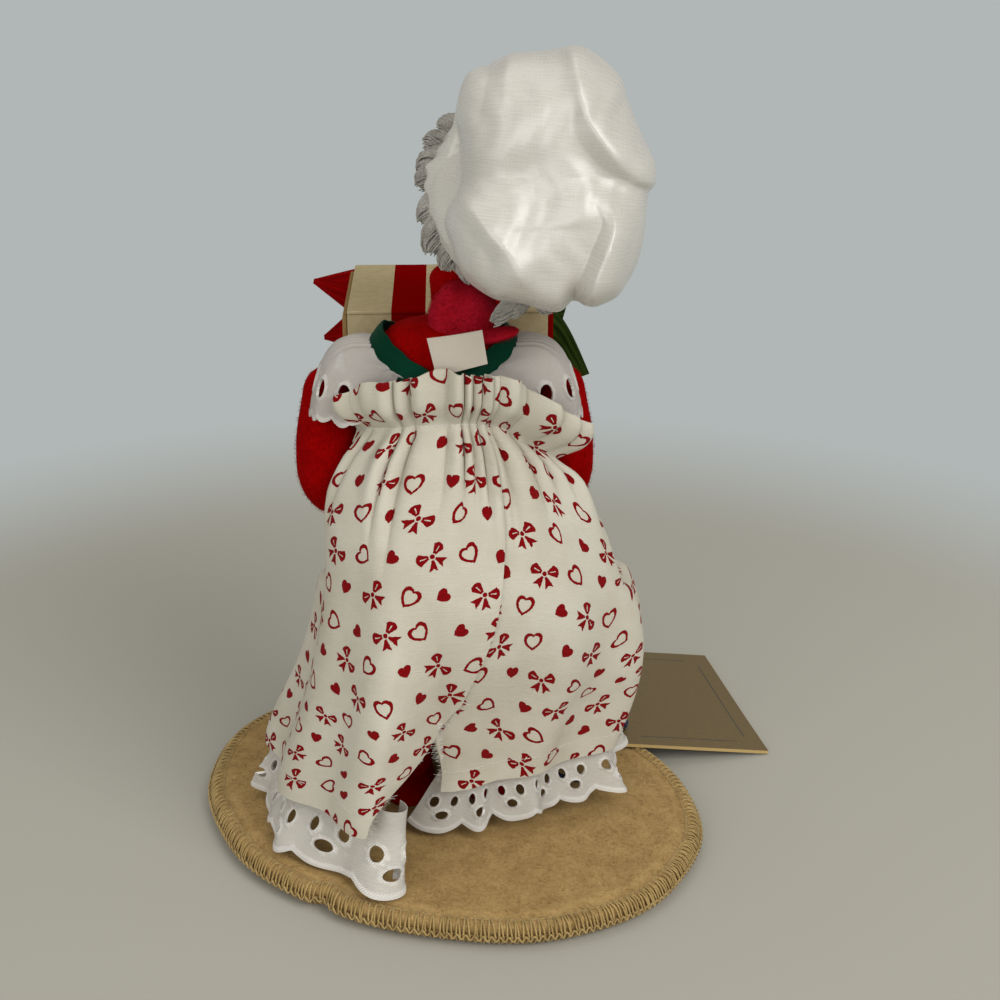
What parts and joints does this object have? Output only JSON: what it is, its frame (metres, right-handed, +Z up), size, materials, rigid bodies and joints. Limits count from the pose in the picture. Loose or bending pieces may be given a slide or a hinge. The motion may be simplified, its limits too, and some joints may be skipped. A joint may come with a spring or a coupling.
{
  "type": "felt christmas doll",
  "caption": "Stuffed felt doll in a mob cap and print skirt, standing on a felt base and holding a striped gift box.",
  "frame": {"origin": "middle of the base's flat underside", "axes": "+Z up; the doll faces -Y and its left side is +X"},
  "size_m": [0.1491, 0.1408, 0.1908],
  "materials": {
    "tan_felt": "short-napped felt",
    "board": "stiff grey card",
    "thread": "overlocked thread",
    "red_felt": "napped felt",
    "raspberry_felt": "napped felt",
    "skin_felt": "napped felt",
    "white_cotton": "slubbed satin-sheen cotton",
    "eyelet_lace": "embroidered eyelet cotton",
    "print_cotton": "printed twill cotton",
    "white_roving": "loose twisted yarn",
    "green_tape": "folded bias tape",
    "label": "woven label, blank",
    "gift_card": "coated card with printed stripes",
    "red_ribbon": "satin ribbon",
    "green_ribbon": "satin ribbon",
    "kraft_card": "kraft card",
    "navy_cord": "twisted cord",
    "wire": "soft annealed wire"
  },
  "bodies": {
    "base": {"base_felt_bottom": "tan_felt", "base_board": "board", "base_felt_top": "tan_felt", "base_overlock_edge": "thread", "hips": "red_felt", "left_foot": "red_felt", "left_leg": "red_felt", "left_leg_wire": "wire", "right_foot": "red_felt", "right_leg": "red_felt", "right_leg_wire": "wire", "tag_cord": "navy_cord"},
    "torso": {"torso": "red_felt", "spine_wire": "wire", "skirt": "print_cotton", "hem_lace": "eyelet_lace", "waist_elastic": "eyelet_lace", "neckline_tape": "green_tape", "left_shoulder_lace": "eyelet_lace", "right_shoulder_lace": "eyelet_lace", "sewn_label": "label", "gift_carton": "gift_card", "gift_end_panel": "gift_card", "bow_knot": "red_ribbon", "red_bow_upper": "red_ribbon", "red_bow_lower": "red_ribbon", "green_bow_upper": "green_ribbon", "green_bow_lower": "green_ribbon"},
    "neck": {"neck_ball": "raspberry_felt", "neck_wire": "wire"},
    "head": {"head": "skin_felt", "head_wire": "wire", "mob_cap": "white_cotton", "hair": "white_roving"},
    "left_arm": {"left_upper_arm": "red_felt", "left_forearm": "red_felt", "left_hand": "skin_felt", "left_arm_wire": "wire"},
    "right_arm": {"right_upper_arm": "red_felt", "right_forearm": "red_felt", "right_hand": "skin_felt", "right_arm_wire": "wire"},
    "tag": {"hang_tag": "kraft_card", "tag_knot": "navy_cord"}
  },
  "joints": [
    {"name": "waist_turn", "type": "hinge", "parent": "base", "child": "torso", "pos_m": [0, 0, 0.084], "axis": [0, 0, 1], "range_deg": [-12, 12]},
    {"name": "head_turn", "type": "hinge", "parent": "torso", "child": "neck", "pos_m": [-0.0045, 0.001, 0.13158], "axis": [0, 0, 1], "range_deg": [-30, 30]},
    {"name": "head_nod", "type": "hinge", "parent": "neck", "child": "head", "pos_m": [-0.0045, 0.001, 0.13158], "axis": [1, 0, 0], "range_deg": [-5, 12]},
    {"name": "left_arm_swing", "type": "hinge", "parent": "torso", "child": "left_arm", "pos_m": [0.0277, -0.003, 0.0835], "axis": [0, 0, 1], "range_deg": [0, 70]},
    {"name": "right_arm_swing", "type": "hinge", "parent": "torso", "child": "right_arm", "pos_m": [-0.0277, -0.003, 0.0835], "axis": [0, 0, -1], "range_deg": [0, 70]},
    {"name": "tag_lift", "type": "hinge", "parent": "base", "child": "tag", "pos_m": [-0.045, -0.0175, 0.00725], "axis": [-0.1564, 0.9877, 0], "range_deg": [0, 70]}
  ]
}
